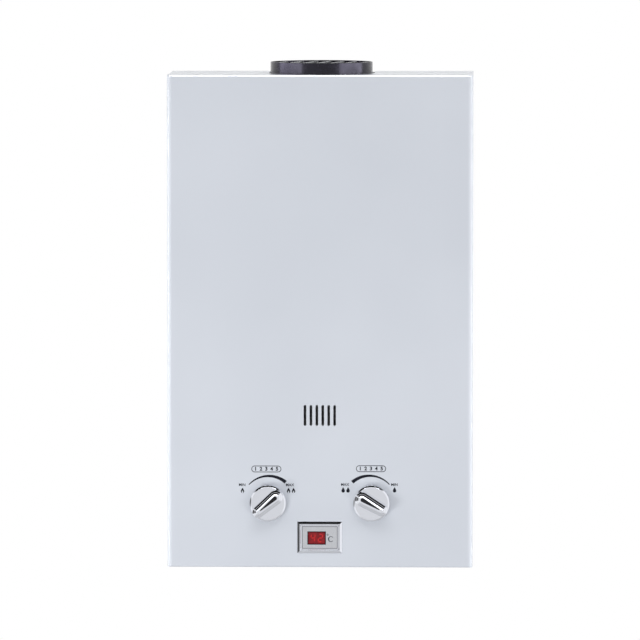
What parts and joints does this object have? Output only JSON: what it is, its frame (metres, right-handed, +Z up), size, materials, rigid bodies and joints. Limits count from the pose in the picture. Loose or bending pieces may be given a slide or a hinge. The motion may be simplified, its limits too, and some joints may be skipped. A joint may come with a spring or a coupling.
{
  "type": "tankless gas water heater",
  "caption": "Wall-hung instantaneous gas water heater: white sheet casing, black flue collar with grille, chrome control knobs, red display and pipe ends below.",
  "frame": {"origin": "on the wall plane, midway between the two lower wall screws", "axes": "+X to the right seen from the front, +Y into the wall (the front faces -Y), +Z up"},
  "size_m": [0.33, 0.1732, 0.5463],
  "materials": {
    "white_enamel": "smooth powder coat",
    "galvanised_steel": "galvanised sheet",
    "black_enamel": "glossy enamel",
    "copper": "tinned and brazed copper",
    "steel": "plated steel",
    "brass": "cast and machined",
    "aluminium": "die cast",
    "ceramic": "glazed ceramic",
    "black_plastic": "moulded plastic",
    "rubber": "nitrile rubber",
    "chrome": "bright plated",
    "black_inlay": "filled recess",
    "silver_panel": "satin silver",
    "red_window": "tinted window",
    "cell_jacket": "printed sleeve"
  },
  "bodies": {
    "heater": {"back_panel": "galvanised_steel", "batteries": "cell_jacket", "battery_box": "black_plastic", "battery_contacts": "galvanised_steel", "battery_door_pin": "steel", "burner_blades": "steel", "burner_bracket": "galvanised_steel", "burner_frame": "steel", "cold_feed_pipe": "copper", "cover_screws": "steel", "diaphragm": "rubber", "display_bezel": "chrome", "display_body": "black_plastic", "display_lens": "red_window", "display_panel": "silver_panel", "exchanger_bracket": "galvanised_steel", "exchanger_coil": "copper", "exchanger_fins": "copper", "exchanger_shell": "copper", "exchanger_tubes": "copper", "flame_sensor": "ceramic", "flue_collar": "black_enamel", "flue_grille": "galvanised_steel", "flue_hood": "galvanised_steel", "front_cover": "white_enamel", "gas_gland": "brass", "gas_manifold": "steel", "gas_nozzles": "brass", "gas_riser": "steel", "gas_valve_body": "aluminium", "hot_outlet_pipe": "copper", "igniter_box": "black_plastic", "ignition_electrode": "ceramic", "inlet_filter": "steel", "micro_switch": "black_plastic", "outlet_temperature_sensor": "brass", "overheat_thermostat": "black_plastic", "pipe_fittings": "brass", "return_bends": "copper", "return_spring": "steel", "solenoid_valve": "black_plastic", "valve_bracket": "galvanised_steel", "water_valve_body": "brass", "water_valve_cover": "brass"},
    "temperature_control": {"temperature_knob": "chrome", "temperature_pointer": "black_inlay", "gas_spindle": "steel"},
    "water_flow_control": {"water_flow_knob": "chrome", "water_flow_pointer": "black_inlay", "water_flow_spindle": "steel"},
    "diaphragm_rod": {"push_rod": "steel"},
    "gas_plunger": {"gas_valve_plunger": "rubber"},
    "lever": {"switch_lever": "steel"},
    "door": {"battery_door": "black_plastic"},
    "drain": {"drain_plug": "black_plastic"}
  },
  "joints": [
    {"name": "temperature_turn", "type": "hinge", "parent": "heater", "child": "temperature_control", "pos_m": [-0.056, -0.1512, -0.042], "axis": [0, 1, 0], "range_deg": [-100, 0]},
    {"name": "water_flow_turn", "type": "hinge", "parent": "heater", "child": "water_flow_control", "pos_m": [0.056, -0.1512, -0.042], "axis": [0, 1, 0], "range_deg": [0, 110]},
    {"name": "rod_slide", "type": "slide", "parent": "heater", "child": "diaphragm_rod", "axis": [-1, 0, 0], "range_m": [0, 0.004], "stiffness_N_per_m": 400, "springref_m": -0.004, "deforming": ["return_spring"]},
    {"name": "plunger_slide", "type": "slide", "parent": "heater", "child": "gas_plunger", "axis": [-1, 0, 0], "range_m": [0, 0.004]},
    {"name": "lever_turn", "type": "hinge", "parent": "heater", "child": "lever", "pos_m": [-0.006, -0.066, -0.0315], "axis": [0, 1, 0], "range_deg": [0, 43]},
    {"name": "battery_door_turn", "type": "hinge", "parent": "heater", "child": "door", "pos_m": [0.117, -0.004, -0.1101], "axis": [1, 0, 0], "range_deg": [0, 95]},
    {"name": "drain_turn", "type": "hinge", "parent": "heater", "child": "drain", "pos_m": [0.07, -0.08, -0.077], "axis": [0, 0, 1], "range_deg": [0, 90]}
  ],
  "couplings": [
    {"joint": "plunger_slide", "follows": "rod_slide", "ratio": 1},
    {"joint": "lever_turn", "follows": "rod_slide", "rad_per_m": 183.26}
  ]
}
